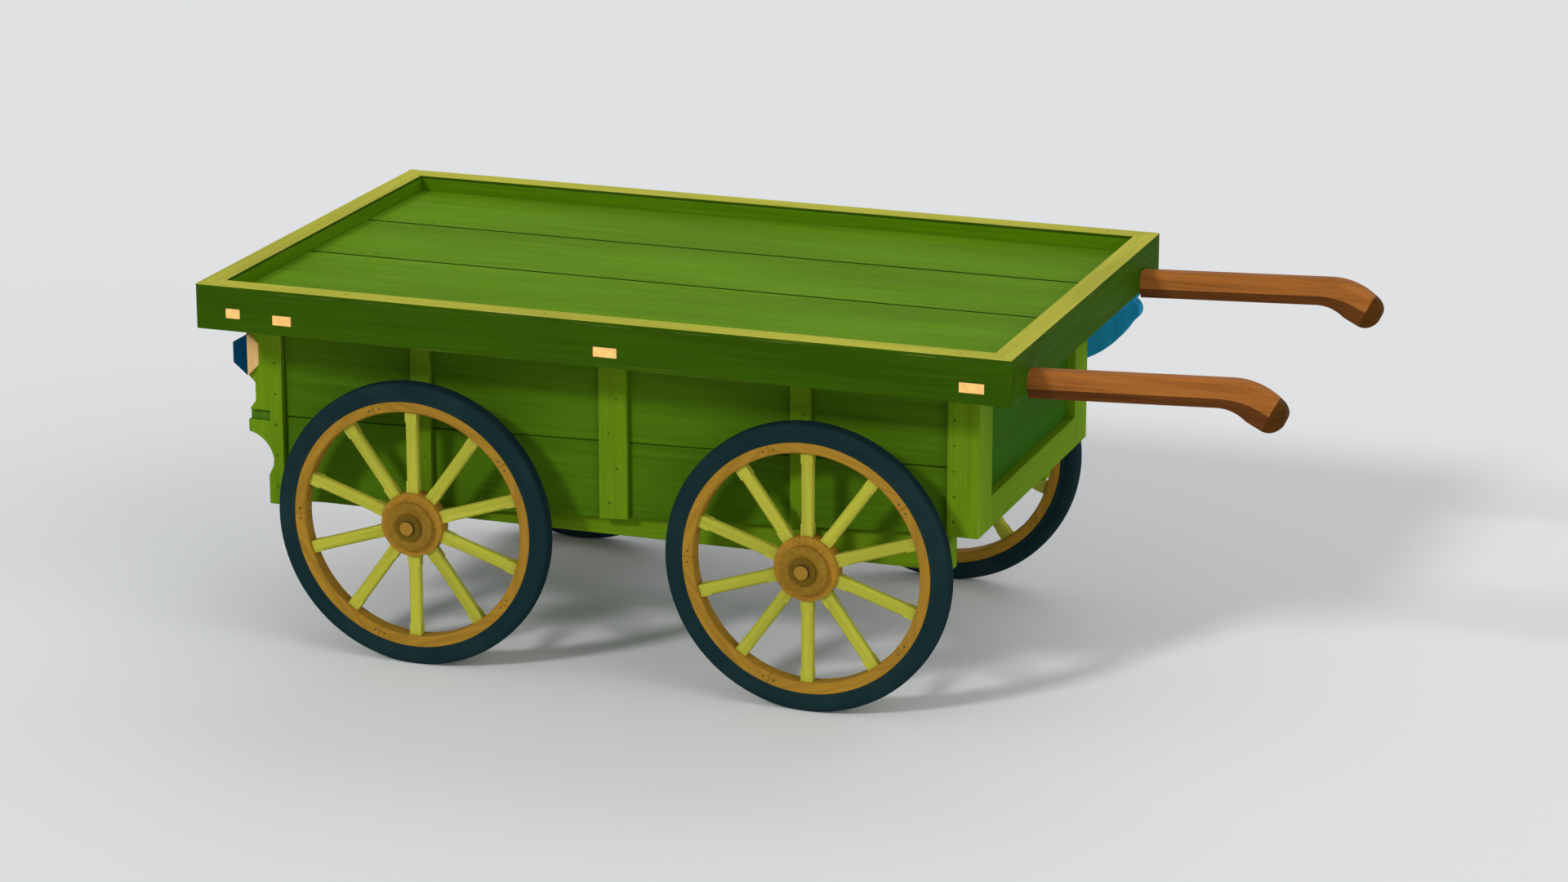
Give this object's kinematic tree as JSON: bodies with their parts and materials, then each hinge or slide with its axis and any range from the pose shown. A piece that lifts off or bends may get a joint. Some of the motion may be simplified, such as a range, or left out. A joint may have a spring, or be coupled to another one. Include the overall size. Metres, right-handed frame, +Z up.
{
  "type": "wooden handcart",
  "caption": "Hand-pushed wooden cart with a shallow railed tray on a boxed body, spoked wheels on through axles and two bent shaft handles.",
  "frame": {"origin": "on the ground, midway along the overall length from the tray's rear end to the handle tips, on the centre plane", "axes": "+X along the cart towards the handles, +Y to the far side, +Z up"},
  "size_m": [2.47, 1.178, 0.8679],
  "materials": {
    "axle_steel": "steel with a brown oily film",
    "bare_wood": "pale bare timber",
    "boss_bare_wood": "bare tan timber",
    "boss_blue_paint": "dark blue paint on timber",
    "bracket_paint": "teal paint on timber",
    "deck_paint": "mid green paint on boards, scuffed",
    "felloe_wood": "brown timber",
    "handle_wood": "brown oiled timber",
    "hub_wood": "brown timber",
    "panel_paint": "dark green paint on panels",
    "plank_paint": "green paint on planks",
    "post_paint": "mid green paint on timber",
    "rim_paint": "olive yellow paint on timber, worn",
    "spoke_paint": "olive yellow paint on spokes",
    "strap_iron": "dark iron",
    "tray_paint": "dark green paint on timber, worn",
    "tyre_rubber": "solid dark rubber",
    "washer_iron": "brown iron"
  },
  "bodies": {
    "cart": {"axle_front": "axle_steel", "axle_rear": "axle_steel", "axle_straps": "strap_iron", "axle_washers": "washer_iron", "bearer_front": "bare_wood", "bearer_middle": "bare_wood", "bearer_rear": "bare_wood", "bearer_rear_middle": "bare_wood", "boss_bare": "boss_bare_wood", "boss_blue": "boss_blue_paint", "bracket_front_far": "bracket_paint", "carved_post_rear_far": "post_paint", "carved_post_rear_near": "post_paint", "chassis_rail_far": "post_paint", "chassis_rail_near": "post_paint", "corner_post_front_far": "post_paint", "corner_post_front_near": "post_paint", "deck_board_1": "deck_paint", "deck_board_2": "deck_paint", "deck_board_3": "deck_paint", "deck_board_4": "deck_paint", "end_panel_front": "panel_paint", "end_panel_rear": "panel_paint", "end_rail_front": "post_paint", "end_rail_rear": "post_paint", "floor_boards": "panel_paint", "handle_far": "handle_wood", "handle_near": "handle_wood", "rim_cap_far": "rim_paint", "rim_cap_front": "rim_paint", "rim_cap_near": "rim_paint", "rim_cap_rear": "rim_paint", "side_battens_far": "post_paint", "side_battens_near": "post_paint", "side_plank_lower_far": "plank_paint", "side_plank_lower_near": "plank_paint", "side_plank_upper_far": "plank_paint", "side_plank_upper_near": "plank_paint", "tray_end_front": "tray_paint", "tray_end_rear": "tray_paint", "tray_side_far": "tray_paint", "tray_side_near": "tray_paint"},
    "wheel_rear_near": {"tyre_rear_near": "tyre_rubber", "felloe_rear_near": "felloe_wood", "spokes_rear_near": "spoke_paint", "hub_rear_near": "hub_wood"},
    "wheel_rear_far": {"tyre_rear_far": "tyre_rubber", "felloe_rear_far": "felloe_wood", "spokes_rear_far": "spoke_paint", "hub_rear_far": "hub_wood"},
    "wheel_front_near": {"tyre_front_near": "tyre_rubber", "felloe_front_near": "felloe_wood", "spokes_front_near": "spoke_paint", "hub_front_near": "hub_wood"},
    "wheel_front_far": {"tyre_front_far": "tyre_rubber", "felloe_front_far": "felloe_wood", "spokes_front_far": "spoke_paint", "hub_front_far": "hub_wood"}
  },
  "joints": [
    {"name": "turn_rear_near", "type": "hinge", "parent": "cart", "child": "wheel_rear_near", "pos_m": [-0.754, -0.4955, 0.33], "axis": [0, 1, 0], "continuous": true},
    {"name": "turn_rear_far", "type": "hinge", "parent": "cart", "child": "wheel_rear_far", "pos_m": [-0.754, 0.4955, 0.33], "axis": [0, 1, 0], "continuous": true},
    {"name": "turn_front_near", "type": "hinge", "parent": "cart", "child": "wheel_front_near", "pos_m": [0.185, -0.4955, 0.33], "axis": [0, 1, 0], "continuous": true},
    {"name": "turn_front_far", "type": "hinge", "parent": "cart", "child": "wheel_front_far", "pos_m": [0.185, 0.4955, 0.33], "axis": [0, 1, 0], "continuous": true}
  ]
}
